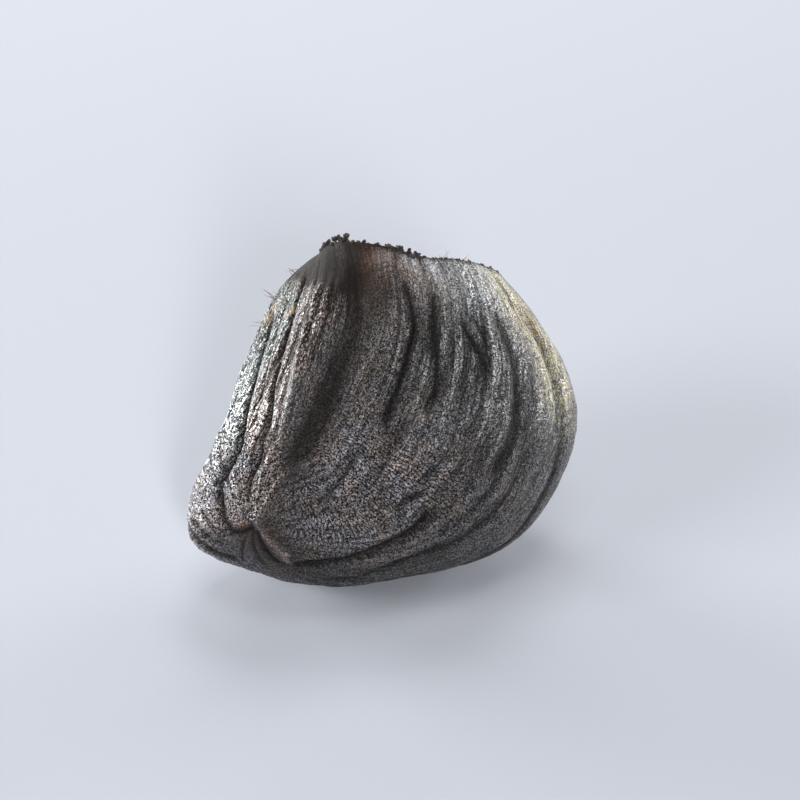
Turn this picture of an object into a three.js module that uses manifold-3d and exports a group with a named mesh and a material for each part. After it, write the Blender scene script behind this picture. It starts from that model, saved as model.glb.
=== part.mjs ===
// A single peeled clove of black garlic, resting on a small flat spot of its rounded back.
//
// The clove is one solid. Its fibres run from the root plate, where the clove was broken off the
// bulb, to the tip, which is bent over towards the broad front face. The clove is built standing,
// with the root plate up, and is then leaned back until it rests on its own underside.
//
// Millimetres. While the clove stands: +X towards its rounded back, -Y out of its broad front
// face, +Z towards the root plate.
import * as THREE from "three";
import { ParametricGeometry } from "three/addons/geometries/ParametricGeometry.js";
import { mergeVertices } from "three/addons/utils/BufferGeometryUtils.js";
import Module from "manifold-3d";

// Driving dimensions
const LEAN_BACK = THREE.MathUtils.degToRad(38); // from standing upright to lying at rest
const FOOT_DEPTH = 0.5; // how much the resting weight has flattened the underside
const SIDE_SHARPNESS = 10; // power that blends the flat sides: higher gives a sharper ridge
const TIP_SHARPNESS = 4.5; // the same power at the tip, where the corners have rounded off
const CAP_START = 0.8; // share of the length where the sides begin to round over to the tip
const SCAR_SINK = 0.6; // how far the root plate is dished
const SCAR_STUB = 0.35; // the broken stub of fibres that stands in the middle of the dish
const STUB_SPREAD = 0.35; // its spread, as a share of the way out to the rim
const TIP_CALM = 0.8; // radius round the tip within which the folds are smoothed away
const NIB_HEIGHT = 0.4; // the smooth swelling just beside the tip
const NIB_RADIUS = 1.5;
const NIB_OFFSET = { back: 1.5, front: -0.2 }; // from the tip to the middle of the nib

// Centreline from the middle of the root plate to the tip
const centreline = new THREE.CubicBezierCurve3(
  new THREE.Vector3(2, 0.3, 11),
  new THREE.Vector3(1, -0.2, 4),
  new THREE.Vector3(-6.5, 2, -6.5),
  new THREE.Vector3(-9, -5, -7.5),
);

// The section is a rounded polygon. Each side is a flat at an angle round the centreline, where
// 0 degrees is the rounded back and 90 degrees the broad front face. Its distance from the
// centreline is given at the root plate, at each quarter of the length, and at the tip.
const SIDES = [
  { name: "front face", angle: 84, distances: [4.5, 6.5, 7, 6, 4] },
  { name: "front shoulder", angle: 40, distances: [5.5, 10.5, 11, 8.5, 3.5] },
  { name: "rounded back", angle: 0, distances: [6, 15.5, 15.5, 9.5, 3] },
  { name: "underside", angle: -48, distances: [9, 14, 14.5, 8.5, 4] },
  { name: "far face", angle: -92, distances: [4, 8.5, 10.5, 8.5, 11.5] },
  { name: "far inner face", angle: -140, distances: [5, 7.5, 7, 5, 8.5] },
  { name: "inner face", angle: 150, distances: [6.5, 7.5, 7.5, 6.5, 4] },
];
for (const side of SIDES) {
  const knots = side.distances.map((distance) => new THREE.Vector3(distance, 0, 0));
  side.profile = new THREE.CatmullRomCurve3(knots, false, "catmullrom");
}

// Folds of the dried flesh. Each follows the fibres over a part of the length, through its angle
// at the start, the middle and the end. The width is in degrees. A positive depth is a groove, a
// negative one a raised fold.
const FOLDS = [
  { name: "outer pleat, inner face", over: [0.3, 1.0], angles: [178, 146, 182], width: 7, depth: 0.4 },
  { name: "middle pleat, inner face", over: [0.08, 1.05], angles: [158, 134, 154], width: 5, depth: 0.4 },
  { name: "crest of the ridge", over: [0.06, 1.0], angles: [148, 116, 136], width: 5, depth: -0.3 },
  { name: "trough beside the ridge", over: [0.06, 0.97], angles: [131, 103, 110], width: 9, depth: 0.45 },
  { name: "long groove, front face", over: [0.08, 0.54], angles: [89, 73, 68], width: 5, depth: 0.5 },
  { name: "short groove, front face", over: [0.07, 0.5], angles: [71, 59, 55], width: 5, depth: 0.45 },
  { name: "groove under the shoulder", over: [0.03, 0.5], angles: [40, 29, 26], width: 5, depth: 0.35 },
  { name: "crease above the foot", over: [0.5, 0.95], angles: [30, 32, -32], width: 6, depth: 0.45 },
  { name: "near pleat of the back", over: [0.1, 0.85], angles: [4, -4, -12], width: 5, depth: 0.3 },
  { name: "far pleat of the back", over: [0.05, 0.5], angles: [-34, -30, -26], width: 6, depth: 0.4 },
  { name: "groove, far face", over: [0.08, 0.6], angles: [-78, -84, -80], width: 6, depth: 0.5 },
  { name: "trough, far face", over: [0.1, 0.7], angles: [-102, -98, -96], width: 10, depth: 0.4 },
  { name: "far pleat, inner face", over: [0.08, 0.8], angles: [-132, -142, -150], width: 6, depth: 0.4 },
  { name: "edge pleat, inner face", over: [0.1, 0.7], angles: [-160, -168, -174], width: 5, depth: 0.3 },
];
const FADE = 0.25; // share of a fold's own length over which it fades out at either end

// The mesh: points round the section, and rows along the clove shared between its three zones
const POINTS_ROUND = 112;
const ROWS = 36;
const ROOT_PLATE_ENDS = 5 / ROWS; // share of the rows spent on the root plate
const CAP_BEGINS = 27 / ROWS; // share of the rows where the rounded tip begins

// 0 down the sides, growing to 1 over the rounded end.
function capShare(share) {
  return Math.max((share - CAP_START) / (1 - CAP_START), 0);
}

// How far the fold presses the surface in at an angle and a share of the length.
function pressedBy(fold, angle, share) {
  const s = (share - fold.over[0]) / (fold.over[1] - fold.over[0]);
  if (s <= 0 || s >= 1) return 0;
  const [start, middle, end] = fold.angles;
  const path = start * (1 - s) * (1 - 2 * s) + middle * 4 * s * (1 - s) + end * s * (2 * s - 1);
  const away = THREE.MathUtils.euclideanModulo(angle - path + 180, 360) - 180;
  const fade = THREE.MathUtils.smoothstep(Math.min(s, 1 - s), 0, FADE);
  return fold.depth * fade * Math.exp(-((away / fold.width) ** 2));
}

// Distance from the centreline to the unfolded surface.
function radiusAt(angle, share) {
  const power = THREE.MathUtils.lerp(SIDE_SHARPNESS, TIP_SHARPNESS, capShare(share));
  let sum = 0;
  for (const side of SIDES) {
    const facing = Math.cos(THREE.MathUtils.degToRad(angle - side.angle));
    if (facing > 0) sum += (facing / side.profile.getPoint(share).x) ** power;
  }
  return sum ** (-1 / power);
}

// A point of the surface: u runs once round the section, v from the middle of the root plate,
// over its rim and down the sides to the tip.
function clovePoint(u, v, target) {
  const angle = (u % 1) * 360;
  let share = 0;
  let opening = 1;
  if (v < ROOT_PLATE_ENDS) {
    opening = v / ROOT_PLATE_ENDS;
  } else if (v < CAP_BEGINS) {
    share = (CAP_START * (v - ROOT_PLATE_ENDS)) / (CAP_BEGINS - ROOT_PLATE_ENDS);
  } else {
    const turn = ((v - CAP_BEGINS) / (1 - CAP_BEGINS)) * (Math.PI / 2);
    share = CAP_START + (1 - CAP_START) * Math.sin(turn);
    opening = Math.cos(turn);
  }
  const along = centreline.getTangent(share);
  const towardsBack = new THREE.Vector3(-along.z, 0, along.x).normalize();
  const towardsFront = new THREE.Vector3().crossVectors(along, towardsBack).normalize();
  const radius = radiusAt(angle, share) * opening;
  const back = Math.cos(THREE.MathUtils.degToRad(angle));
  const front = Math.sin(THREE.MathUtils.degToRad(angle));
  const outward = towardsBack.multiplyScalar(back).addScaledVector(towardsFront, front);
  // The folds press in square to the surface, and fade out just before they meet at the tip.
  const calm = 1 - Math.exp(-((radius / TIP_CALM) ** 2));
  const pressed = calm * FOLDS.reduce((depth, fold) => depth + pressedBy(fold, angle, share), 0);
  target
    .copy(centreline.getPoint(share))
    .addScaledVector(outward, radius - pressed * opening)
    .addScaledVector(along, -pressed * capShare(share));
  if (share === 0) {
    const stub = SCAR_STUB * Math.exp(-((opening / STUB_SPREAD) ** 2));
    target.addScaledVector(along, SCAR_SINK * (1 - opening ** 2) - stub * (1 - opening));
  }
  if (share > CAP_START) {
    const fromNib = Math.hypot(radius * back - NIB_OFFSET.back, radius * front - NIB_OFFSET.front);
    target.addScaledVector(along, NIB_HEIGHT * Math.exp(-((fromNib / NIB_RADIUS) ** 2)));
  }
}

function toSolid(wasm, geometry) {
  const bare = geometry.clone();
  bare.deleteAttribute("normal");
  bare.deleteAttribute("uv");
  const merged = mergeVertices(bare, 1e-3);
  return new wasm.Manifold(
    new wasm.Mesh({
      numProp: 3,
      vertProperties: merged.getAttribute("position").array,
      triVerts: new Uint32Array(merged.index.array),
    }),
  );
}

function toGeometry(solid) {
  const mesh = solid.getMesh();
  const geometry = new THREE.BufferGeometry();
  geometry.setAttribute("position", new THREE.BufferAttribute(mesh.vertProperties, 3));
  geometry.setIndex(new THREE.BufferAttribute(mesh.triVerts, 1));
  geometry.computeVertexNormals();
  return geometry;
}

// The clove leaned back, with its lowest part cut off flat, as far as FOOT_DEPTH above its
// lowest point.
function restingClove(wasm) {
  const leaned = new ParametricGeometry(clovePoint, POINTS_ROUND, ROWS).rotateX(-LEAN_BACK);
  leaned.computeBoundingBox();
  const size = leaned.boundingBox.getSize(new THREE.Vector3()).multiplyScalar(2);
  const ground = new THREE.BoxGeometry(size.x, size.y, size.z);
  ground.translate(0, 0, leaned.boundingBox.min.z + FOOT_DEPTH - size.z / 2);
  return toGeometry(toSolid(wasm, leaned).subtract(toSolid(wasm, ground)));
}

// Moves the origin to the middle of the footprint, on the surface that the clove rests on.
function standOnOrigin(geometry) {
  geometry.computeBoundingBox();
  const box = geometry.boundingBox;
  const middle = box.getCenter(new THREE.Vector3());
  return geometry.translate(-middle.x, -middle.y, -box.min.z);
}

const wasm = await Module();
wasm.setup();

const flesh = new THREE.MeshStandardMaterial({ color: "#3c3532", roughness: 0.45, metalness: 0 });
const clove = new THREE.Mesh(standOnOrigin(restingClove(wasm)), flesh);
clove.name = "clove";

const blackGarlic = new THREE.Group();
blackGarlic.add(clove);

export default blackGarlic;
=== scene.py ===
import math
import random

import bmesh
import bpy
import numpy as np
from mathutils import Euler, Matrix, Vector, noise


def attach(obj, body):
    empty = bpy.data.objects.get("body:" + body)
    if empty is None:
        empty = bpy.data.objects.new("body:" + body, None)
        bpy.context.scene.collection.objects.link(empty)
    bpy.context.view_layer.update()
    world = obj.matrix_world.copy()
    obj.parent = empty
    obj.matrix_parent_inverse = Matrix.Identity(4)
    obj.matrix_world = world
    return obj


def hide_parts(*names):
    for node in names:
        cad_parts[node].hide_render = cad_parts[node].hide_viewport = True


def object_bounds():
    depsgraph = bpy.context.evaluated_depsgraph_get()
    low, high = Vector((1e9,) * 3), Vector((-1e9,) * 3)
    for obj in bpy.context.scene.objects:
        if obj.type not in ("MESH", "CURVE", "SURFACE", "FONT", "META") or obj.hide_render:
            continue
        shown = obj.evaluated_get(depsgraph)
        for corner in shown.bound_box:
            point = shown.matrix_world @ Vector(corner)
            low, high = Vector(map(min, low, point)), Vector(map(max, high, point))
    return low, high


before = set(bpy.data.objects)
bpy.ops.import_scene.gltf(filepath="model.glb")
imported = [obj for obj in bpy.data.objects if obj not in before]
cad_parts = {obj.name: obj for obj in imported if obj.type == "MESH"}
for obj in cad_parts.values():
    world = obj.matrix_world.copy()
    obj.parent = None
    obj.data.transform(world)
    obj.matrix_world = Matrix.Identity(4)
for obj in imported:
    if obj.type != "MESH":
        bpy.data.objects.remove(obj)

frame_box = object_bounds()


# ---- Clove ----
# A peeled clove is one body of fleshy layers, aged until it is black. It grew pressed flat by its
# neighbours, with fibres that fan out from the root plate and close together at the tip, which is
# bent over towards the broad front face. It lies tipped back on its own underside.
MM = 0.001
BEND = [(2, 0.3, 11), (1, -0.2, 4), (-6.5, 2, -6.5), (-9, -5, -7.5)]  # root plate to tip, in mm
CAP_START = 0.8  # share of the length where the sides begin to round over to the tip
SIDE_SHARPNESS = 10  # how sharply one flat side meets the next
TIP_SHARPNESS = 4.5
# Each side is a flat at an angle round the middle line. Its distances from the line, in mm, are
# at the root plate, at each quarter of the length and at the tip.
SIDES = {
    "front face": (84, [4.5, 6.5, 7, 6, 4]),
    "front shoulder": (40, [5.5, 10.5, 11, 8.5, 3.5]),
    "rounded back": (0, [6, 15.5, 15.5, 9.5, 3]),
    "underside": (-48, [9, 14, 14.5, 8.5, 4]),
    "far face": (-92, [4, 8.5, 10.5, 8.5, 11.5]),
    "far inner face": (-140, [5, 7.5, 7, 5, 8.5]),
    "inner face": (150, [6.5, 7.5, 7.5, 6.5, 4]),
}


def smooth_through(values, share):
    """A smooth curve through evenly spaced values."""
    spans = len(values) - 1
    row = np.array([2 * values[0] - values[1], *values, 2 * values[-1] - values[-2]], float)
    place = np.clip(share * spans, 0, spans)
    first = np.clip(place.astype(int), 0, spans - 1)
    s = place - first
    a, b, c, d = (row[first + step] for step in range(4))
    return b + 0.5 * s * (c - a + s * (2 * a - 5 * b + 4 * c - d + s * (3 * (b - c) + d - a)))


def middle_line(share):
    """Points on the middle line, and the directions along it, to the back and to the front."""
    p = np.array(BEND, float)
    s = share[..., None]
    point = (
        (1 - s) ** 3 * p[0] + 3 * s * (1 - s) ** 2 * p[1] + 3 * s**2 * (1 - s) * p[2] + s**3 * p[3]
    )
    along = (
        (1 - s) ** 2 * (p[1] - p[0]) + 2 * s * (1 - s) * (p[2] - p[1]) + s**2 * (p[3] - p[2])
    )
    along /= np.linalg.norm(along, axis=-1, keepdims=True)
    to_back = np.stack([-along[..., 2], 0 * share, along[..., 0]], -1)
    to_back /= np.linalg.norm(to_back, axis=-1, keepdims=True)
    return point, along, to_back, np.cross(along, to_back)


def cap_share(share):
    """0 down the sides, growing to 1 over the rounded end."""
    return np.clip((share - CAP_START) / (1 - CAP_START), 0, 1)


def radius_at(angle, share):
    """Distance from the middle line to the unfolded skin."""
    power = SIDE_SHARPNESS + (TIP_SHARPNESS - SIDE_SHARPNESS) * cap_share(share)
    total = 0
    for side_angle, distances in SIDES.values():
        facing = np.clip(np.cos(np.radians(angle - side_angle)), 0, None)
        total = total + (facing / smooth_through(distances, share)) ** power
    return total ** (-1 / power)


# The skin is a net of points, round the clove and in rows over the root plate, down the sides
# and over the tip. Angle 0 is the rounded back, and 90 degrees the broad front face.
AROUND = 430
PLATE_ROWS, SIDE_ROWS, CAP_ROWS = 18, 146, 61
angles = np.arange(AROUND) * 360 / AROUND
plate = np.linspace(0, 1, PLATE_ROWS + 1)[1:-1]
turn = np.linspace(0, math.pi / 2, CAP_ROWS + 1)[1:-1]
row_share = np.concatenate(
    [0 * plate, np.linspace(0, CAP_START, SIDE_ROWS), CAP_START + (1 - CAP_START) * np.sin(turn)]
)
row_opening = np.concatenate([plate, np.ones(SIDE_ROWS), np.cos(turn)])
angle, share = np.meshgrid(angles, row_share)
_, opening = np.meshgrid(angles, row_opening)
reach = radius_at(angle, share) * opening
on_plate = share == 0
on_cap = share > CAP_START
tip_half = share > 0.5

# As it aged the clove lost water and shrank, and its layers puckered along the fibres into
# pleats, creases and puffy lobes. Each fold has a width and a depth in mm, and follows the fibres
# through places given as share of the length and angle. A negative depth is a raised fold.
FOLDS = {
    "crest of the ridge": (0.45, -0.4, [
        (0.17, 141), (0.23, 136), (0.3, 131), (0.4, 125), (0.5, 119), (0.65, 115), (0.8, 116),
        (0.9, 126), (0.97, 142)]),
    "trough beside the ridge": (1.5, 0.42, [
        (0.06, 128), (0.3, 108), (0.6, 100), (0.95, 108)]),
    "broad pleat of the inner face": (0.3, 0.5, [
        (0.3, 175), (0.4, 168), (0.49, 161), (0.6, 155), (0.7, 151), (0.79, 151), (0.87, 160),
        (0.915, 177), (0.95, 194), (0.98, 210), (0.99, 225)]),
    "long crease of the inner face": (0.18, 0.42, [
        (0.15, 162), (0.27, 155), (0.36, 146), (0.46, 139), (0.58, 131), (0.66, 126), (0.75, 126),
        (0.85, 134), (0.91, 141), (0.95, 156), (0.99, 168)]),
    "fine crease beside the crest": (0.14, 0.26, [
        (0.22, 136), (0.26, 134), (0.33, 128), (0.4, 123)]),
    "line on the crest": (0.12, 0.16, [
        (0.3, 134), (0.42, 129), (0.55, 122), (0.7, 119), (0.85, 122)]),
    "middle crease of the inner face": (0.16, 0.22, [
        (0.22, 166), (0.35, 161), (0.45, 152), (0.55, 144), (0.66, 139), (0.76, 137)]),
    "outer crease of the inner face": (0.16, 0.16, [
        (0.2, 176), (0.33, 179), (0.5, 174), (0.68, 168), (0.8, 172)]),
    "long groove of the front": (0.42, 0.5, [
        (0.06, 95), (0.1, 91), (0.134, 85), (0.17, 80), (0.2, 76), (0.25, 74.5), (0.32, 72),
        (0.4, 70), (0.48, 69)]),
    "line on from the long groove": (0.2, 0.13, [(0.5, 73), (0.6, 72), (0.7, 71), (0.88, 70)]),
    "second groove of the front": (0.34, 0.42, [
        (0.06, 71), (0.12, 68), (0.19, 63.5), (0.25, 58), (0.32, 54.5), (0.4, 56)]),
    "line between the grooves": (0.14, 0.12, [(0.1, 79), (0.2, 70), (0.3, 65), (0.42, 64)]),
    "hollow of the front": (0.22, 0.42, [
        (0.12, 51), (0.15, 48), (0.18, 43.5), (0.21, 39.5), (0.24, 38)]),
    "second line of the hollow": (0.16, 0.25, [
        (0.08, 50), (0.113, 47), (0.134, 44), (0.165, 39.5), (0.2, 37)]),
    "third line of the hollow": (0.16, 0.2, [(0.06, 43), (0.13, 40), (0.2, 36.5), (0.27, 35)]),
    "dark groove of the shoulder": (0.8, 0.4, [
        (0.07, 34), (0.123, 31), (0.18, 27), (0.26, 23), (0.45, 22)]),
    "groove of the near edge": (0.3, 0.25, [
        (0.04, 14), (0.1, 9), (0.16, 3.5), (0.21, 3), (0.33, 4)]),
    "fine line below the shoulder": (0.2, 0.14, [(0.28, 20), (0.45, 20), (0.66, 22)]),
    "second line below the shoulder": (0.2, 0.12, [(0.3, 12), (0.45, 12), (0.7, 14)]),
    "short crease of the lower front": (0.22, 0.25, [(0.54, 37), (0.6, 41), (0.68, 42)]),
    "crease above the foot": (0.3, 0.42, [
        (0.56, 32), (0.68, 30), (0.8, 26), (0.88, 14), (0.93, -3), (0.96, -24)]),
    "low crease of the front": (0.22, 0.2, [(0.6, 16), (0.72, 15), (0.82, 5), (0.9, -16)]),
    "near pleat of the back": (0.45, 0.32, [(0.06, 5), (0.4, -4), (0.85, -12)]),
    "middle pleat of the back": (0.35, 0.25, [(0.1, -14), (0.35, -17), (0.6, -15)]),
    "far pleat of the back": (0.55, 0.4, [(0.04, -34), (0.3, -30), (0.55, -27)]),
    "pleat of the underside": (0.4, 0.3, [(0.08, -52), (0.35, -55), (0.65, -50), (0.85, -40)]),
    "groove of the far face": (0.5, 0.45, [(0.06, -77), (0.3, -84), (0.62, -80)]),
    "trough of the far face": (1.4, 0.4, [(0.08, -103), (0.4, -98), (0.75, -96)]),
    "crease of the far face": (0.3, 0.3, [(0.3, -112), (0.6, -110), (0.9, -118)]),
    "far pleat of the inner face": (0.5, 0.42, [(0.06, -131), (0.4, -142), (0.85, -151)]),
    "far edge pleat": (0.4, 0.32, [(0.08, -159), (0.4, -168), (0.75, -175)]),
}
TROUGH_WIDTH = 1  # a fold wider than this is a soft trough, and a narrower one a crease
CREASE_ROUNDING = 0.1  # how far the sharp bottom of a crease is rounded, in mm
# A fold begins to show just outside its ends, and shows fully this share of the length inside.
FOLD_SHOWS, FOLD_FULL = -0.01, 0.06
# Creases round the tip, with their places in mm from it towards the back and towards the front
TIP_CREASES = {
    "end of the puffy lobe": (0.18, 0.3, [
        (-2.9, -1.4), (-1.1, -1.85), (-0.2, -1.6), (0.15, -0.9), (0.1, 0)]),
    "bright fold over the nub": (0.16, -0.22, [
        (0.05, 0.5), (0.6, 0.6), (1.3, 0.6), (2.1, 0.65), (2.8, 0.5), (3.4, -0.1)]),
    "short crease of the nub": (0.12, 0.26, [(0.5, 0.3), (1.2, 0.2), (2.0, -0.1), (3, -0.7)]),
    "low crease of the nub": (0.12, 0.16, [(0.4, 0.0), (1.1, -0.4), (1.9, -0.9), (2.6, -1.6)]),
    "lowest crease of the nub": (0.12, 0.14, [
        (0.3, -0.3), (0.7, -1.0), (1.2, -1.9), (1.5, -2.8)]),
    "first ripple of the corner lobe": (0.12, 0.14, [(-0.3, -2.2), (-1.2, -2.9), (-2.4, -3.2)]),
    "second ripple of the corner lobe": (0.12, 0.14, [(0.1, -3.0), (-0.8, -3.7), (-2.2, -4.1)]),
    "edge of the corner lobe": (0.25, 0.22, [(1.2, -3.7), (0.1, -4.4), (-1, -4.9), (-2.4, -5.1)]),
}
DARK_FOLD, DARK_TIP_CREASE = 0.4, 0.3  # the depths in mm from which creases get their full painted shade
DARK_NARROWED = 1.5  # a power that keeps the painted shade of a fold narrower than the fold
TIP_CALM = 0.6  # radius in mm round the tip within which the folds are smoothed away


def smooth_step(value, start, end):
    """0 before the start and 1 after the end, with a soft rise between them."""
    s = np.clip((value - start) / (end - start), 0, 1)
    return s * s * (3 - 2 * s)


def bell(distance, width):
    """1 at no distance, fading out softly over the width."""
    return np.exp(-((distance / width) ** 2))


def turned(difference):
    """An angle brought between -180 and 180 degrees."""
    return (difference + 180) % 360 - 180


def v_groove(distance, width):
    """1 in the bottom of a crease, falling away to its puffy shoulders."""
    rounding = CREASE_ROUNDING
    return np.exp(-(np.hypot(distance, rounding) - rounding) / width)


def fold_along(places, width):
    """How strongly a fold through these places shows at each point of the skin."""
    shares, path = np.array(places, float).T
    slopes = np.gradient(path, shares)
    span = np.clip(np.searchsorted(shares, share) - 1, 0, len(shares) - 2)
    length = shares[span + 1] - shares[span]
    s = np.clip((share - shares[span]) / length, 0, 1)
    at = (
        path[span] * (1 + 2 * s) * (1 - s) ** 2 + path[span + 1] * s * s * (3 - 2 * s)
        + length * (slopes[span] * s * (1 - s) ** 2 + slopes[span + 1] * s * s * (s - 1))
    )
    away = np.radians(turned(angle - at)) * reach
    inside = np.minimum(share - shares[0], shares[-1] - share)
    shape = bell if width > TROUGH_WIDTH else v_groove
    return smooth_step(inside, FOLD_SHOWS, FOLD_FULL) * shape(away, width)


def crease_across(places, width):
    """How strongly a crease round the tip shows at each point of the skin."""
    nearest = np.full(share.shape, 99.0)
    for start, end in zip(places, places[1:]):
        run = np.subtract(end, start)
        s = ((tip_back - start[0]) * run[0] + (tip_front - start[1]) * run[1]) / (run @ run)
        s = np.clip(s, 0, 1)
        off = np.hypot(tip_back - start[0] - s * run[0], tip_front - start[1] - s * run[1])
        nearest = np.minimum(nearest, off)
    return on_cap * v_groove(nearest, width)


point, along, to_back, to_front = middle_line(share)
facing_back, facing_front = np.cos(np.radians(angle)), np.sin(np.radians(angle))
tip_back, tip_front = reach * facing_back, reach * facing_front
outward = to_back * facing_back[..., None] + to_front * facing_front[..., None]
body = point + outward * reach[..., None]

folds = 0
# How strongly each point is darkened by painted shade in its crease
crease_shade = 0
for width, depth, places in FOLDS.values():
    shows = fold_along(places, width)
    folds = folds + depth * shows
    if 0 < depth and width < TROUGH_WIDTH:
        crease_shade = np.maximum(crease_shade, shows**DARK_NARROWED * min(depth / DARK_FOLD, 1))
folds = folds * (1 - bell(reach, TIP_CALM) * tip_half)
for width, depth, places in TIP_CREASES.values():
    shows = crease_across(places, width)
    folds = folds + depth * shows
    crease_shade = np.maximum(crease_shade, shows * min(depth / DARK_TIP_CREASE, 1))

# The skin is drawn into fine fibre lines down its length, gathered into small wrinkles across
# them on the lower front, and lumpy like leather between the folds. The fibres curve round
# towards the ridge on their way down.
FIBRE_CURVE = [24, 10, -2, -7, -11, -13, -14, -10, 4, 25]  # degrees, from root plate to tip
NIB_HEIGHT, NIB_RADIUS = 0.4, 1.5  # the smooth swelling just beside the tip, in mm
NIB_BACK, NIB_FRONT = 1.5, -0.2  # from the tip to the middle of the nib, in mm
NIB_SKIN = 1.7  # radius of the smooth skin on it, in mm


def sector(middle, full, none):
    """1 as far as one angle from the middle of a sector, fading to 0 at another."""
    return smooth_step(np.abs(turned(angle - middle)), none, full)


def near_angle(middle, spread):
    """1 at an angle round the clove, fading out over its spread in degrees."""
    return bell(turned(angle - middle), spread)


def lengthwise(start, full, fades, end):
    """1 over a part of the length, fading in before it and out after it."""
    return smooth_step(share, start, full) * smooth_step(share, end, fades)


def patch(at_angle, at_share, angle_spread, share_spread):
    """1 in the middle of a patch of the skin, fading out over its spread."""
    return near_angle(at_angle, angle_spread) * bell(share - at_share, share_spread)


def ripple(points, fineness):
    """Soft random ups and downs, between about -1 and 1."""
    full_swing = 1.6
    scaled = (points * np.array(fineness)).reshape(-1, 3)
    values = [noise.noise(Vector(point)) for point in scaled.tolist()]
    return np.array(values).reshape(points.shape[:-1]) * full_swing


curve = smooth_through(FIBRE_CURVE, share) * sector(130, 15, 130)
fibre_angle = np.radians(angle - curve)
fibre = np.stack([np.cos(fibre_angle), np.sin(fibre_angle), share], -1)
inner = sector(165, 38, 62)  # the pleated inner faces
smooth_shoulder = sector(157, 28, 46)  # the side of the root end next to them
lower_front = near_angle(58, 42) * lengthwise(0.4, 0.55, 0.9, 1)
strip = near_angle(106, 9) * lengthwise(0.3, 0.4, 0.85, 0.95)  # the smooth strip beside the ridge
fan = near_angle(38, 48) * smooth_step(share, 0.5, 0.2)  # streaks spreading from the root
from_nib = np.hypot(tip_back - NIB_BACK, tip_front - NIB_FRONT)
nib = bell(from_nib, NIB_SKIN) * on_cap

# Each texture has its ups and downs across, across and along the fibres. The lumps and the grain
# have theirs per mm. An added number only keeps a texture from running together with another.
pleats = ripple(fibre, (9, 9, 0.8)) + 0.5 * ripple(fibre + 7, (21, 21, 1.2))
lines = ripple(fibre + 3, (46, 46, 3))
gathers = ripple(fibre + 11, (5, 5, 62))
lumps = ripple(body, (0.32, 0.32, 0.32))
grain = ripple(body + 5, (2.1, 2.1, 2.1))
# Their heights in mm on the plain skin, and what parts of the skin add to them
LUMPS, LUMPS_INSIDE = 0.14, -0.06
PLEATS, PLEATS_INSIDE, PLEATS_IN_FAN = 0.06, -0.04, 0.05
GATHERS, GATHERS_IN_FRONT = 0.004, 0.014
LINES = 0.02
GRAIN = 0.022
SMOOTHER = 0.6  # how much less of all of it there is on the strip and the nib
TIP_FREE = 3  # radius in mm round the tip within which the fibre lines fade out
plain = 1 - SMOOTHER * np.maximum(strip, nib)
drawn = plain * (1 - on_cap * bell(reach, TIP_FREE))
relief = (
    lumps * (LUMPS + LUMPS_INSIDE * inner)
    + drawn * pleats * (PLEATS + PLEATS_INSIDE * inner + PLEATS_IN_FAN * fan)
    + drawn * gathers * (GATHERS + GATHERS_IN_FRONT * lower_front)
    + drawn * lines * LINES
    + plain * grain * GRAIN
)

# Creases between the fibres part and run together again like the lines of a comb. They are
# deepest on the inner faces, where their painted shade is darkest too. Here is how many there
# are, how deep they are and how dark their painted shade is.
COMB_CREASES = [(8, 0.13, 0.9), (17, 0.07, 0.6)]
COMB_WIDTH = 0.16
for spacing, depth, dark in COMB_CREASES:
    between_fibres = ripple(fibre + spacing, (spacing, spacing, 0.055 * spacing))
    comb = bell(between_fibres, COMB_WIDTH) * drawn
    relief = relief - depth * comb * np.maximum(0.35 + 0.65 * inner, 0.8 * fan)
    crease_shade = np.maximum(crease_shade, comb * (0.25 + 0.75 * inner) * dark)

# Places where the flesh stands fuller or has sunk: angle, share of the length, how far it
# spreads in both, and how far it stands out in mm
SWELLINGS = {
    "full back": (-11, 0.19, 18, 0.11, 0.45),
    "full lower back": (-12, 0.5, 16, 0.12, 0.25),
    "corner lobe": (-118, 0.94, 28, 0.05, 0.4),
    "sunk inner edge": (-162, 0.85, 20, 0.09, -0.4),
    "sunk keel": (-20, 0.82, 16, 0.07, -0.2),
}
for *where, stands in SWELLINGS.values():
    relief = relief + stands * patch(*where)
# The front rounds over into the root plate. The smooth shoulder beside it has almost no relief,
# and its two corners are rounded off.
RIM_ROUNDING, RIM_DEPTH = 0.09, 0.8  # share of the length, and mm
SHOULDER_CALM = 0.9
ROUNDED_CORNERS = [(132, 0.5), (175, 0.35)]  # their angles, and how far in mm
CORNER_SPREAD = 13
relief = relief - RIM_DEPTH * sector(75, 35, 75) * np.clip(1 - share / RIM_ROUNDING, 0, 1) ** 2
relief = relief * (1 - SHOULDER_CALM * smooth_shoulder * smooth_step(share, 0.2, 0.12))
for at_angle, depth in ROUNDED_CORNERS:
    relief = relief - depth * near_angle(at_angle, CORNER_SPREAD) * smooth_step(share, 0.24, 0.05)
relief = relief * smooth_step(reach, 0.2, 2) * opening


def softened(values, columns):
    """The same values with their ups and downs round the clove smoothed away."""
    waves = np.fft.rfft(values, axis=1)
    passes = np.exp(-2 * (math.pi * columns * np.fft.rfftfreq(AROUND)) ** 2)
    return np.fft.irfft(waves * passes, AROUND, axis=1)


SURROUNDINGS = 9  # how many points to either side the skin is compared with
PROUD = 0.16  # height in mm above them at which the skin counts as wholly raised
pressed = folds - relief
raised = smooth_step(softened(pressed, SURROUNDINGS) - pressed, -PROUD, PROUD)
steps = np.linalg.norm(np.diff(body, axis=0), axis=-1).mean(1)
down = np.concatenate([[0], np.cumsum(steps)])[:, None] + 0 * share  # mm from the root's middle
skin = (
    point
    + outward * (reach - pressed * opening)[..., None]
    - along * (pressed * cap_share(share))[..., None]
)
skin = skin + along * (NIB_HEIGHT * bell(from_nib, NIB_RADIUS) * on_cap)[..., None]

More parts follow.
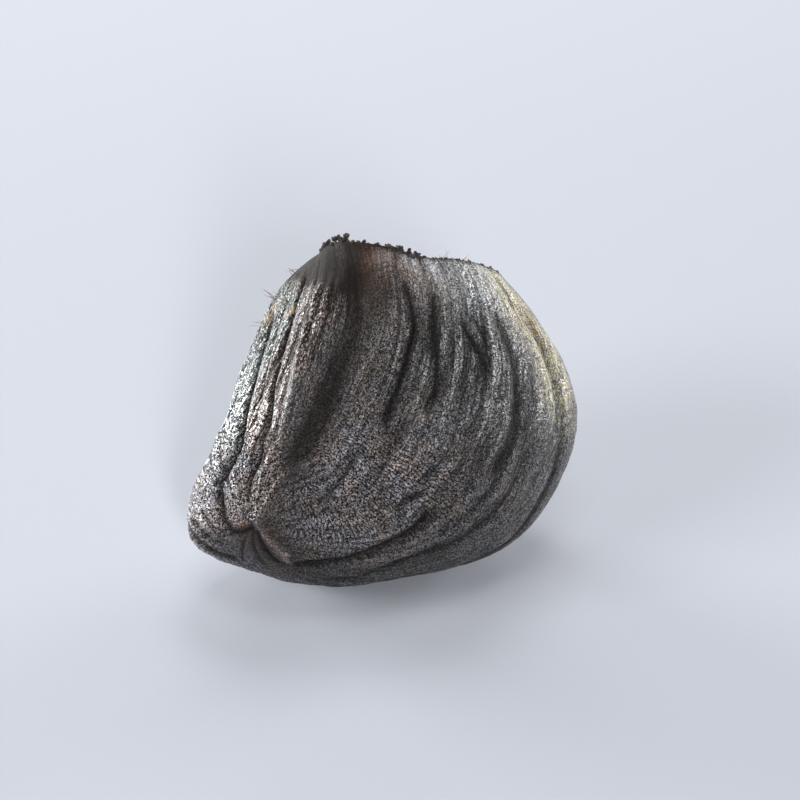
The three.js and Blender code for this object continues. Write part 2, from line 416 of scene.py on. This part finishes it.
# The root plate is a dished scar, with the broken stub of fibres in its middle. Its torn rim
# dips on the inner side and in the middle of the front.
SCAR_SINK, SCAR_STUB, STUB_SPREAD = 0.6, 0.35, 0.35
CRUMBLE = [(0.12, 1.3), (0.08, 3.1)]  # heights in mm of its rough surface, and how many per mm
RIM_DIPS = [(172, 0.4), (78, 0.3)]  # their angles, and how deep they are in mm
RIM_DIP_SPREAD = 22
stub = SCAR_STUB * bell(opening, STUB_SPREAD) * (1 - opening)
crumbly = sum(depth * ripple(body, (fineness,) * 3) for depth, fineness in CRUMBLE)
dish = SCAR_SINK * (1 - opening**2) - stub + crumbly * (1.1 - opening**4)
skin = skin + along * (dish * on_plate)[..., None]
for at_angle, depth in RIM_DIPS:
    dip = depth * near_angle(at_angle, RIM_DIP_SPREAD) * smooth_step(share, 0.1, 0) * opening**4
    skin = skin + along * dip[..., None]

# The finished body is tipped back on its underside, which its weight has pressed flat.
LEAN_BACK = math.radians(38)
FOOT_DEPTH = 0.5


def leaned(standing):
    """The standing clove tipped back."""
    x, y, z = np.moveaxis(standing, -1, 0)
    cos, sin = math.cos(LEAN_BACK), math.sin(LEAN_BACK)
    return np.stack([x, y * cos + z * sin, z * cos - y * sin], -1)


plain_body = leaned(body).reshape(-1, 3)
lowest, highest = plain_body.min(0), plain_body.max(0)
settle = np.array([*((lowest + highest) / 2)[:2], lowest[2] + FOOT_DEPTH])
frame_low, frame_high = (np.array(corner) for corner in frame_box)
frame_middle = (frame_low + frame_high) / 2
stands_at = np.array([frame_middle[0], frame_middle[1], frame_low[2]])


def at_rest(standing):
    """From the standing clove in mm to the resting one in metres."""
    lying = leaned(standing) - settle
    lying[..., 2] = np.maximum(lying[..., 2], 0)
    return lying * MM + stands_at


def put_in_scene(name, shape):
    """Makes an object of a mesh, a lamp or a camera, and puts it into the scene."""
    placed = bpy.data.objects.new(name, shape)
    bpy.context.collection.objects.link(placed)
    return placed


# It is one closed skin, welded at the middle of the root plate and at the tip, where the last
# point stands a little proud of its row.
MIDDLE_PROUD, TIP_PROUD = 0.02, 0.01
rows = len(row_share)
plate_middle = skin[0].mean(0) + along[0, 0] * MIDDLE_PROUD
tip_point = skin[-1].mean(0) + along[-1, 0] * TIP_PROUD
corners = np.concatenate([skin.reshape(-1, 3), [plate_middle, tip_point]])
index = np.arange(rows * AROUND).reshape(rows, AROUND)
beside = np.roll(index, -1, axis=1)
quads = np.stack([index[:-1], beside[:-1], beside[1:], index[1:]], -1).reshape(-1, 4)
plate_fan = [(rows * AROUND, int(b), int(a)) for a, b in zip(index[0], beside[0])]
tip_fan = [(rows * AROUND + 1, int(a), int(b)) for a, b in zip(index[-1], beside[-1])]
clove_mesh = bpy.data.meshes.new("clove_flesh")
clove_mesh.from_pydata(at_rest(corners).tolist(), [], quads.tolist() + plate_fan + tip_fan)
clove_mesh.shade_smooth()
clove_mesh.validate()
clove = put_in_scene("clove_flesh", clove_mesh)

# Patches of the skin that have their own colour, patches of painted highlight, and patches of
# painted shade where the bloom is taken down. Each has its angle, its share of the length, its
# spread in both, and its strength.
PATCHES = {
    "brown": [(112, 0.14, 22, 0.11, 0.8)],
    # the band by the root rim: pale dry skin with a painted highlight
    "pale": [(70, 0.03, 36, 0.08, 1), (30, 0.02, 32, 0.08, 1), (115, 0.035, 7, 0.03, 1)],
    # a painted highlight along the right edge
    "cream_highlight": [(14, 0.06, 12, 0.06, 1.6), (3, 0.17, 9, 0.1, 1.5)],
    "golden": [
        (6, 0.1, 10, 0.04, 1), (160, 0.28, 8, 0.06, 1), (174, 0.33, 6, 0.05, 1),
        (83, 0.15, 3, 0.015, 0.6)],
    # painted shade on the low rim, the lower right, the hollow of the front and the corner's rim
    "painted_shade": [
        (-8, 0.8, 34, 0.27, 0.9), (10, 0.35, 16, 0.2, 0.55), (44, 0.18, 11, 0.1, 0.5),
        (-84, 0.93, 26, 0.05, 0.9)],
}
EMBER_BACK, EMBER_FRONT, EMBER_RADIUS = -0.35, -0.8, 0.65  # the rusty spot at the tip, in mm
PALE_FOLD_WIDTH = 0.12
LOBE_ANGLE = -125  # the puffy lobe at the corner beside the tip
FIBRE_RADIUS = 8  # mm, which makes the fibres' own coordinates about true to size


def patches(name):
    """The patches of that name, added together."""
    return sum(strength * patch(*where) for *where, strength in PATCHES[name])


brown = (
    smooth_shoulder * smooth_step(share + 0.03 * lumps, 0.25, 0.15)
    + patches("brown") + 0.5 * strip + 0.5 * nib
)
# The raised fold over the nub gets a painted highlight.
fold_highlight = crease_across(TIP_CREASES["bright fold over the nub"][2], PALE_FOLD_WIDTH)
ember = bell(np.hypot(tip_back - EMBER_BACK, tip_front - EMBER_FRONT), EMBER_RADIUS) * on_cap
lobed = inner * smooth_step(share, 0.45, 0.65) + near_angle(LOBE_ANGLE, 40) * tip_half
# The dry pale bloom on the skin, with a painted sheen in it, is brightest on the inner faces,
# the corner lobe and the lower front.
bloom_and_sheen = 0.98 + 0.3 * lower_front + 1.0 * inner + 1.2 * near_angle(LOBE_ANGLE, 34) * tip_half
# The bloom is taken down by painted shade in these patches.
for *where, painted_shade in PATCHES["painted_shade"]:
    bloom_and_sheen = bloom_and_sheen * (1 - painted_shade * patch(*where))
marks = {
    "raised": raised,
    "crease_shade": np.clip(crease_shade, 0, 1),
    "fanned": fan,
    "gathered": lower_front,
    "pleated": inner * smooth_step(share, 0.95, 0.8),
    "lobed": np.clip(lobed, 0, 1) * (1 - nib),
    "nib": nib,
    "root_end": np.maximum(on_plate * 1.0, smooth_step(share, 0.012, 0.0)),
    "bloom_and_sheen": bloom_and_sheen,
    "brown": np.clip(brown, 0, 1),
    "pale": np.clip(patches("pale") + 0.5 * fold_highlight, 0, 1),
    "cream_highlight": np.clip(patches("cream_highlight"), 0, 1),
    "golden": np.clip(patches("golden"), 0, 1),
    # where the painted sheen turns rosy, near the ridge
    "rosy_sheen": smooth_step(angle, 158, 140) * inner,
    "ember": ember,
    "fibre": np.stack(
        [FIBRE_RADIUS * np.cos(fibre_angle), FIBRE_RADIUS * np.sin(fibre_angle), down], -1),
}
for name, values in marks.items():
    ends = values[[0, -1]].mean(1)
    flat = np.concatenate([values.reshape(rows * AROUND, -1), ends.reshape(2, -1)])
    kind, field = ("FLOAT_VECTOR", "vector") if name == "fibre" else ("FLOAT", "value")
    layer = clove_mesh.attributes.new(name, kind, "POINT")
    layer.data.foreach_set(field, flat.ravel())


def new_finish(name):
    """Starts a material, and gives it with its nodes and its shader."""
    material = bpy.data.materials.new(name)
    material.use_nodes = True
    return material, material.node_tree, material.node_tree.nodes["Principled BSDF"]


def wire(kind, inputs, out=0, **settings):
    """Adds a node to the tree in hand, sets it, joins its inputs, and gives the chosen output."""
    made = tree.nodes.new("ShaderNode" + kind)
    for name, value in settings.items():
        setattr(made, name, value)
    for place, value in inputs.items():
        if isinstance(value, bpy.types.NodeSocket):
            tree.links.new(value, made.inputs[place])
        else:
            made.inputs[place].default_value = value
    return made.outputs[out]


def in_millimetres():
    """The place on the resting clove, in mm."""
    place = wire("TexCoord", {}, out="Object")
    return wire("VectorMath", {0: place, 3: 1 / MM}, operation="SCALE")


def marked(name, out="Fac"):
    """One of the marks on the skin."""
    return wire("Attribute", {}, out=out, attribute_name=name)


def math_node(operation, first, second=0.0, third=0.0):
    return wire("Math", {0: first, 1: second, 2: third}, operation=operation)


def times(first, second):
    return math_node("MULTIPLY", first, second)


def ranged(value, low, high, to_low=0.0, to_high=1.0):
    """A value brought smoothly from one range to another."""
    inputs = {0: value, 1: low, 2: high, 3: to_low, 4: to_high}
    return wire("MapRange", inputs, interpolation_type="SMOOTHSTEP")


def between(amount, first, second):
    """Mixes two numbers."""
    return wire("Mix", {0: amount, 2: first, 3: second}, data_type="FLOAT")


def tinted(amount, under, over):
    """Mixes two colours."""
    return wire("Mix", {0: amount, 6: under, 7: over}, out=2, data_type="RGBA")


def cloudy(at, stretch, detail=3.0, roughness=0.6):
    """Soft random tones, drawn out as the stretch says."""
    place = wire("VectorMath", {0: at, 1: stretch}, operation="MULTIPLY")
    inputs = {"Vector": place, "Scale": 1.0, "Detail": detail, "Roughness": roughness}
    return wire("TexNoise", inputs, out="Fac")


def from_middle(tones):
    """How far soft random tones are from their middle value, either way."""
    return math_node("ABSOLUTE", math_node("SUBTRACT", tones, 0.5))


# Sugars and amino acids have browned the flesh almost to black. Its dry skin is crackled like
# fine leather, with a satin sheen on the tops of the plates and dull dark cracks between them,
# whose shade is painted near black.
DEEP_BLACK = (0.008, 0.006, 0.0055, 1)
# near black, the painted shade in cracks and creases
PAINTED_SHADE_BLACK = (0.004, 0.003, 0.0025, 1)
WARM_TOP = (0.52, 0.415, 0.365, 1)
COOL_TOP = (0.43, 0.42, 0.48, 1)
BROWN_TOP = (0.22, 0.125, 0.09, 1)
# tints of the painted sheen on the inner faces and the fan of streaks
SHEEN_SILVER = (0.68, 0.72, 0.72, 1)
SHEEN_TEAL = (0.47, 0.63, 0.61, 1)
SHEEN_ROSY = (0.76, 0.61, 0.54, 1)
RUST = (0.45, 0.15, 0.04, 1)
# the cream of the painted highlight on the right edge
HIGHLIGHT_CREAM = (0.88, 0.81, 0.55, 1)
GOLD = (0.50, 0.29, 0.09, 1)
CORK = (0.030, 0.021, 0.017, 1)
# Textures of the skin: how many ups and downs there are per mm across, across and along
WRINKLES = (5.6, 5.6, 0.42)
DRAWN_GRAIN = (11.0, 11.0, 4.0)
ROUND_GRAIN = (8.5, 8.5, 8.5)
PLATES = (4.9, 4.9, 4.9)
THREADS = (11.0, 11.0, 0.7)
STREAKS = (3.2, 3.2, 0.16)
BANDS = (1.3, 1.3, 0.07)
CLOUDS = (0.45, 0.45, 0.45)
FINE = (6.5, 6.5, 6.5)
MOTTLE = (1.6, 1.6, 1.6)
HATCH_PER_MM = 3.0

flesh, tree, finish = new_finish("aged flesh")
in_mm = in_millimetres()
fibres = marked("fibre", "Vector")
creases = marked("crease_shade")
roots = marked("root_end")
gathered = marked("gathered")
pleated = marked("pleated")
raised_part = marked("raised")
fanned = marked("fanned")
brown_part = marked("brown")
lobed_part = marked("lobed")
threads = cloudy(fibres, THREADS, 2.0)
streaks = cloudy(fibres, STREAKS, 4.0, 0.65)
bands = cloudy(fibres, BANDS)
clouds = cloudy(in_mm, CLOUDS, 4.0)
fine = cloudy(in_mm, FINE, 1.0)
mottle = cloudy(in_mm, MOTTLE, 4.0, 0.7)

# Fine wrinkles run along the fibres, and low on the front a broken hatching runs across them.
wrinkle = ranged(from_middle(cloudy(fibres, WRINKLES, 1.5)), 0.05, 0.01)
wrinkle = times(wrinkle, between(pleated, 0.6, 0.9))
wander = times(cloudy(in_mm, (0.8, 0.8, 0.8)), 3.0)
down_clove = wire("SeparateXYZ", {0: fibres}, out="Z")
hatch = math_node("MULTIPLY_ADD", down_clove, HATCH_PER_MM, wander)
hatch = ranged(math_node("PINGPONG", hatch, 0.5), 0.17, 0.04)
hatch = times(hatch, ranged(cloudy(fibres, (1.0, 1.0, 1.6)), 0.38, 0.46))
gaps = between(gathered, wrinkle, hatch)
gaps = times(gaps, between(brown_part, 1.0, 0.35))

# The grain of the skin is pebbled, and where the flesh is full its skin has split into plates.
WARP_PER_MM, WARP = 2.0, (1.5, 1.5, 1.5)
warp = wire("TexNoise", {"Vector": in_mm, "Scale": WARP_PER_MM, "Detail": 3.0}, out="Color")
warp = wire("VectorMath", {0: warp, 1: (0.5, 0.5, 0.5)}, operation="SUBTRACT")


def grained(at, stretch):
    """How near the middle of a pebble of the grain, and the pebble's own random tones."""
    place = wire("VectorMath", {0: at, 1: stretch}, operation="MULTIPLY")
    place = wire("VectorMath", {0: warp, 1: WARP, 2: place}, operation="MULTIPLY_ADD")
    inputs = {"Vector": place, "Scale": 1.0, "Randomness": 0.9}
    from_centre = wire("TexVoronoi", inputs, out="Distance")
    return ranged(from_centre, 0.62, 0.15), from_centre.node.outputs["Color"]


drawn_pebbles, drawn_tones = grained(fibres, DRAWN_GRAIN)
round_pebbles, round_tones = grained(in_mm, ROUND_GRAIN)
own_tones = wire("SeparateColor", {0: tinted(pleated, round_tones, drawn_tones)})
tone, warmth, coolness = own_tones.node.outputs
level = from_middle(cloudy(in_mm, PLATES, 1.5))
plates = ranged(level, 0.02, 0.1)
unpleated = math_node("SUBTRACT", 1.0, pleated)
cracked = times(unpleated, between(gathered, 0.4, 0.75))
cracked = math_node("MAXIMUM", lobed_part, cracked)
pebbles = between(cracked, between(pleated, round_pebbles, drawn_pebbles), plates)
pebbles = times(pebbles, between(cracked, 1.0, 0.8))
cracks = times(ranged(level, 0.064, 0.02), ranged(cracked, 0.1, 0.6, 0.25, 0.88))
cracks = times(cracks, between(brown_part, 1.0, 0.3))
gaps = math_node("MAXIMUM", gaps, cracks)

# Each grain has dried to its own tone, warm or cool. Where the fibres are drawn, on the inner
# faces and over the fan of streaks, a silvery tint, teal and rosy in places, paints in the sheen.
top = tinted(ranged(clouds, 0.42, 0.6), WARM_TOP, COOL_TOP)
top = tinted(ranged(coolness, 0.5, 1.0, 0.0, 0.7), top, COOL_TOP)
top = tinted(ranged(warmth, 0.6, 1.0, 0.0, 0.5), top, WARM_TOP)
bare = math_node("SUBTRACT", 1.0, brown_part)
sheen_painted = times(bare, math_node("MAXIMUM", times(fanned, 0.7), times(pleated, 0.8)))
sheen_tint = tinted(times(pleated, ranged(bands, 0.4, 0.6, 0.25, 0.95)), SHEEN_SILVER, SHEEN_TEAL)
sheen_tint = tinted(marked("rosy_sheen"), sheen_tint, SHEEN_ROSY)
top = tinted(sheen_painted, top, sheen_tint)

# How dry the skin is: moist black at 0, and the full colour of its top at 1. It is driest on
# the tops of the plates. The crests of the pleats are painted lighter and the low places darker,
# as painted highlight and shade.
dry = times(between(pebbles, 0.012, 0.52), between(tone, 0.78, 1.25))
# the bloom, partly dry skin and partly painted sheen
dry = times(dry, marked("bloom_and_sheen"))
dry = times(dry, between(gathered, ranged(threads, 0.36, 0.62, 0.65, 1.35), 1.0))
dry = times(dry, between(fanned, 1.0, ranged(bands, 0.42, 0.58, 0.2, 2.4)))
for texture, low, high, least, most in (
    (fine, 0.32, 0.62, 0.75, 1.2),
    (mottle, 0.35, 0.65, 0.88, 1.12),
    (streaks, 0.36, 0.62, 0.7, 1.3),
    # raised crests painted lighter and low places darker, as painted highlight and shade
    (raised_part, 0.2, 0.8, 0.5, 1.3),
):
    dry = times(dry, ranged(texture, low, high, least, most))
matte = times(ranged(mottle, 0.38, 0.62, 0.01, 0.06), between(pebbles, 0.6, 1.3))
dry = between(brown_part, dry, matte)
dry = between(marked("nib"), dry, ranged(threads, 0.36, 0.62, 0.01, 0.22))
# The pale patches are partly pale dry skin and partly a painted highlight.
pale_and_highlight = times(marked("pale"), ranged(streaks, 0.36, 0.6, 0.35, 1.0))
pale_and_highlight = times(pale_and_highlight, ranged(fine, 0.3, 0.6, 0.5, 1.1))
dry = math_node("ADD", dry, times(pale_and_highlight, between(pebbles, 0.8, 2.5)))
top = tinted(brown_part, top, BROWN_TOP)
# The rust at the tip and the golden flecks are the skin's own colour; the cream is a painted
# highlight.
for name, spots, tint, dryness in (
    ("ember", ranged(fine, 0.38, 0.58, 0.1, 1.0), RUST, 0.5),
    ("cream_highlight", ranged(mottle, 0.36, 0.52, 0.2, 1.0), HIGHLIGHT_CREAM, ranged(fine, 0.3, 0.6, 0.5, 1.0)),
    ("golden", ranged(mottle, 0.48, 0.58), GOLD, ranged(fine, 0.3, 0.6, 0.4, 1.0)),
):
    spots = times(marked(name), spots)
    top = tinted(spots, top, tint)
    dry = between(spots, dry, dryness)
colour = tinted(dry, DEEP_BLACK, top)
# The cracks, the fine wrinkles and the hatching are painted near black, as the shade in them.
colour = tinted(gaps, colour, PAINTED_SHADE_BLACK)
# Creases and the low places between raised skin are painted near black, as shade.
sunk = math_node("MAXIMUM", creases, ranged(raised_part, 0.3, 0.0, 0.0, 0.6))
colour = tinted(times(sunk, 0.92), colour, PAINTED_SHADE_BLACK)
colour = tinted(roots, colour, CORK)
tree.links.new(colour, finish.inputs["Base Color"])

gloss = ranged(pebbles, 0.0, 1.0, 0.6, 0.25)
for part, dulls in ((gaps, 0.3), (brown_part, 0.4), (sunk, 0.3), (roots, 0.4)):
    gloss = math_node("MULTIPLY_ADD", part, dulls, gloss)
tree.links.new(math_node("MINIMUM", gloss, 0.95), finish.inputs["Roughness"])
lustre = times(bare, ranged(sunk, 0.0, 0.6, 1.5, 0.0))
lustre = times(lustre, between(lobed_part, 1.0, 1.9))
lustre = times(lustre, times(pebbles, ranged(gaps, 0.1, 0.6, 1.6, 0.0)))
tree.links.new(lustre, finish.inputs["Coat Weight"])
finish.inputs["Coat Roughness"].default_value = 0.14
finish.inputs["IOR"].default_value = 1.36

BUMP_HEIGHT = 0.12 * MM
height = times(pebbles, 0.2)
for part, stands in ((gaps, -0.7), (fine, 0.9), (streaks, 0.8), (mottle, 1.6)):
    height = math_node("MULTIPLY_ADD", part, stands, height)
height = times(height, between(brown_part, 1.0, 0.25))
inputs = {"Strength": 1.0, "Distance": BUMP_HEIGHT, "Height": height}
bump = wire("Bump", inputs, out="Normal")
tree.links.new(bump, finish.inputs["Normal"])
tree.links.new(bump, finish.inputs["Coat Normal"])
clove_mesh.materials.append(flesh)

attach(clove, "root")
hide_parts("clove")


# ---- Crumbs of the root ----
# Where the clove was broken off the bulb, dry dark crumbs of the corky root still cling to the
# rim of the root plate, heaped in places and sunk into each other.
CRUMB_HEAPS = [  # angles from and to, share of the length, how many, size and height in mm
    (178, 140, 0.0, 80, 0.21, 0.5),
    (180, 160, 0.02, 25, 0.18, 0.1),
    (140, 117, 0.0, 24, 0.13, 0.15),
    (118, 84, 0.0, 50, 0.16, 0.3),
    (116, 82, 0.012, 60, 0.15, 0.0),
    (84, 20, 0.0, 40, 0.1, 0.05),
    (380, 180, 0.0, 60, 0.15, 0.1),
]
INWARDS = 0.14  # share of the way in from the rim over which they lie on the plate
SUNK_IN = 0.4  # share of its size by which a crumb is sunk in
CRUMB_ROUGHNESS, ROUGH_PER_SIZE = 1.0, 1.7
chance = random.Random(11)


def skin_at(at_share, at_angle, at_opening=1.0):
    """A point of the finished skin and the directions out of it and along the clove, in mm."""
    column = round(at_angle % 360 / 360 * AROUND) % AROUND
    row = np.argmin(np.abs(row_share - at_share) + np.abs(row_opening - at_opening))
    return skin[row, column], outward[row, column], along[row, column]


def finished_mesh(name, made):
    """Turns a piece made of loose parts into a smooth mesh."""
    mesh = bpy.data.meshes.new(name)
    made.to_mesh(mesh)
    made.free()
    mesh.shade_smooth()
    return mesh


crumbs = bmesh.new()
for start, end, at_share, count, size, heaped in CRUMB_HEAPS:
    for _ in range(count):
        inwards = INWARDS * chance.random() ** 1.5 * (at_share == 0)
        middle, out_of, down_clove = skin_at(
            at_share * chance.random(), chance.uniform(start, end), 1 - inwards
        )
        rise = heaped * chance.random() ** 1.5 - SUNK_IN * size
        middle = middle - down_clove * rise + out_of * chance.uniform(-0.5, 0.4) * size
        lump = bmesh.ops.create_icosphere(crumbs, subdivisions=2, radius=1)["verts"]
        squeeze = Vector(chance.uniform(0.5, 1.0) for _ in range(3)) * size
        squeeze = squeeze * chance.uniform(0.5, 1.3)
        roll = Euler(chance.uniform(0, math.tau) for _ in range(3))
        for vert in lump:
            rough = noise.noise(vert.co * ROUGH_PER_SIZE + Vector(middle))
            vert.co = Vector(vert.co * (1 + CRUMB_ROUGHNESS * rough) * squeeze)
            vert.co.rotate(roll)
            vert.co += Vector(middle)
places = at_rest(np.array([vert.co for vert in crumbs.verts]))
for vert, rest in zip(crumbs.verts, places):
    vert.co = rest
crumb_mesh = finished_mesh("root_crumbs", crumbs)
root_crumbs = put_in_scene("root_crumbs", crumb_mesh)

CRUMB_DARK = (0.012, 0.009, 0.009, 1)
CRUMB_PALE = (0.10, 0.075, 0.065, 1)
CRUMB_TONES = (4.0, 4.0, 4.0)  # ups and downs per mm
CRUMB_BUMP = 0.08 * MM
cork, tree, finish = new_finish("dry root cork")
tones = cloudy(in_millimetres(), CRUMB_TONES, 4.0, 0.7)
colour = tinted(ranged(tones, 0.4, 0.7), CRUMB_DARK, CRUMB_PALE)
tree.links.new(colour, finish.inputs["Base Color"])
finish.inputs["Roughness"].default_value = 0.85
bump = wire("Bump", {"Strength": 1.0, "Distance": CRUMB_BUMP, "Height": tones}, out="Normal")
tree.links.new(bump, finish.inputs["Normal"])
crumb_mesh.materials.append(cork)

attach(root_crumbs, "root")


# ---- Threads of skin ----
# A few fine papery fibres of the torn skin stand out in small tufts from the root rim, from the
# edge of the inner face and from the corner lobe. Each tapers and curls as it dried.
THREAD_TUFTS = [  # share of the length, angle, how many threads, and how long they are in mm
    (0.16, 177, 5, 0.7),
    (0.27, 179, 6, 0.8),
    (0.36, 176, 6, 0.6),
    (0.0, 62, 5, 0.6),
    (0.0, 36, 5, 0.5),
    (0.92, -102, 7, 0.5),
]
SHARE_SCATTER, ANGLE_SCATTER = 0.02, 6
THREAD_RADIUS = 0.03  # mm
THREAD_TAPER = 0.7  # share of the radius lost by the end
THREAD_ROOTED = 0.05  # mm sunk into the skin
THREAD_LEAN, THREAD_CURL = 0.5, 0.6  # shares of the length by which it leans and curls aside
THREAD_SIDES, THREAD_STEPS = 4, 6
threads_made = bmesh.new()
for at_share, at_angle, count, length in THREAD_TUFTS:
    for _ in range(count):
        at_place = at_share + chance.uniform(-SHARE_SCATTER, SHARE_SCATTER) * (at_share > 0)
        root, out_of, down_clove = (
            Vector(part)
            for part in skin_at(at_place, at_angle + chance.uniform(-ANGLE_SCATTER, ANGLE_SCATTER))
        )
        lean = Vector(chance.uniform(-1, 1) for _ in range(3))
        curl = Vector(chance.uniform(-1, 1) for _ in range(3))
        across = out_of.cross(down_clove)
        rings = []
        for step in range(THREAD_STEPS + 1):
            s = step / THREAD_STEPS
            reached = out_of * s + lean * THREAD_LEAN * s + curl * THREAD_CURL * s * s
            middle = root + reached * length - out_of * THREAD_ROOTED
            thin = THREAD_RADIUS * (1 - THREAD_TAPER * s)
            ring = []
            for side in range(THREAD_SIDES):
                turn = math.tau * side / THREAD_SIDES
                off = down_clove * math.cos(turn) + across * math.sin(turn)
                ring.append(threads_made.verts.new(at_rest(np.array(middle + off * thin))))
            rings.append(ring)
        for ring, following in zip(rings, rings[1:]):
            for side in range(THREAD_SIDES):
                after = (side + 1) % THREAD_SIDES
                wall = [ring[side], ring[after], following[after], following[side]]
                threads_made.faces.new(wall)
        threads_made.faces.new(list(reversed(rings[0])))
        threads_made.faces.new(rings[-1])
thread_mesh = finished_mesh("skin_threads", threads_made)
skin_threads = put_in_scene("skin_threads", thread_mesh)

THREAD_DARK = (0.10, 0.06, 0.05, 1)
THREAD_PALE = (0.42, 0.30, 0.22, 1)
THREAD_TONES = (1.5, 1.5, 1.5)  # ups and downs per mm
papery, tree, finish = new_finish("papery thread")
tones = cloudy(in_millimetres(), THREAD_TONES)
colour = tinted(ranged(tones, 0.35, 0.65), THREAD_DARK, THREAD_PALE)
tree.links.new(colour, finish.inputs["Base Color"])
finish.inputs["Roughness"].default_value = 0.6
thread_mesh.materials.append(papery)

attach(skin_threads, "root")


# ---- Table top ----
# A plain pale painted board that the clove lies on, wide enough to fill the view from every side.
BOARD_SPREAD = 1.5
BOARD_COLOUR = (0.50, 0.525, 0.585, 1)
edge = BOARD_SPREAD / 2
board_mesh = bpy.data.meshes.new("board")
board_mesh.from_pydata(
    [(-edge, -edge, 0), (edge, -edge, 0), (edge, edge, 0), (-edge, edge, 0)], [], [(0, 1, 2, 3)]
)
board = put_in_scene("board", board_mesh)
board.location.z = frame_low[2]
paint, tree, finish = new_finish("pale paint")
finish.inputs["Base Color"].default_value = BOARD_COLOUR
finish.inputs["Roughness"].default_value = 0.7
board_mesh.materials.append(paint)


# ---- Light ----
# Soft windows all round the clove, strongest low on its left, in a pale room. Each has its
# direction, which is 0 behind the clove and 90 degrees to its right, then its height, distance,
# width and tallness in metres, and its radiance.
WINDOWS = {
    "front window": (168, 0.23, 0.42, 0.06, 0.13, 54.0),
    "top window": (185, 0.44, 0.07, 0.16, 0.12, 4.5),
    "high window": (12, 0.43, 0.25, 0.2, 0.15, 5.5),
    "back window": (0, 0.1, 0.5, 0.4, 0.12, 9.0),
    "left window": (-56, 0.04, 0.5, 0.2, 0.08, 116.0),
    "side window": (-111, 0.25, 0.4, 0.2, 0.1, 16.0),
    "right window": (54, 0.05, 0.5, 0.16, 0.1, 58.0),
}
for name, (azimuth, height, distance, width, tall, radiance) in WINDOWS.items():
    lamp = bpy.data.lights.new(name, "AREA")
    lamp.shape = "RECTANGLE"
    lamp.size, lamp.size_y = width, tall
    lamp.energy = radiance * math.pi * width * tall
    window = put_in_scene(name, lamp)
    turn = math.radians(azimuth)
    window.location = (distance * math.sin(turn), distance * math.cos(turn), height)
    aim = Vector((0, 0, frame_middle[2])) - window.location
    window.rotation_euler = aim.to_track_quat("-Z", "Y").to_euler()
    window.visible_camera = False

# The room is dimmer on the side that the clove's broad front faces.
ROOM_COLOUR = (0.97, 0.98, 1.0, 1)
ROOM_LIGHT, DIM_LIGHT = 0.12, 0.06
dim_side = (0, -math.cos(LEAN_BACK), math.sin(LEAN_BACK))
room = bpy.data.worlds.new("pale room")
room.use_nodes = True
tree = room.node_tree
facing = {0: wire("TexCoord", {}, out="Generated"), 1: dim_side}
facing = wire("VectorMath", facing, out="Value", operation="DOT_PRODUCT")
background = tree.nodes["Background"]
background.inputs["Color"].default_value = ROOM_COLOUR
tree.links.new(ranged(facing, 0.5, 0.95, ROOM_LIGHT, DIM_LIGHT), background.inputs["Strength"])
bpy.context.scene.world = room


# ---- Camera ----
# A long lens close to the clove, looking along the direction in which the clove leans back.
LENS = 90
CAMERA_DISTANCE = 140.4 * MM
AIM_OFF_MIDDLE = Vector((1.08, 0.1, 0.57)) * MM
camera_data = bpy.data.cameras.new("camera")
camera_data.lens = LENS
camera_data.clip_start = 0.005
camera = put_in_scene("camera", camera_data)
looks_down = Vector((0, math.cos(LEAN_BACK), -math.sin(LEAN_BACK)))
camera.location = Vector(frame_middle) + AIM_OFF_MIDDLE - looks_down * CAMERA_DISTANCE
camera.rotation_euler = looks_down.to_track_quat("-Z", "Y").to_euler()
bpy.context.scene.camera = camera
bpy.context.scene.view_settings.view_transform = "Standard"
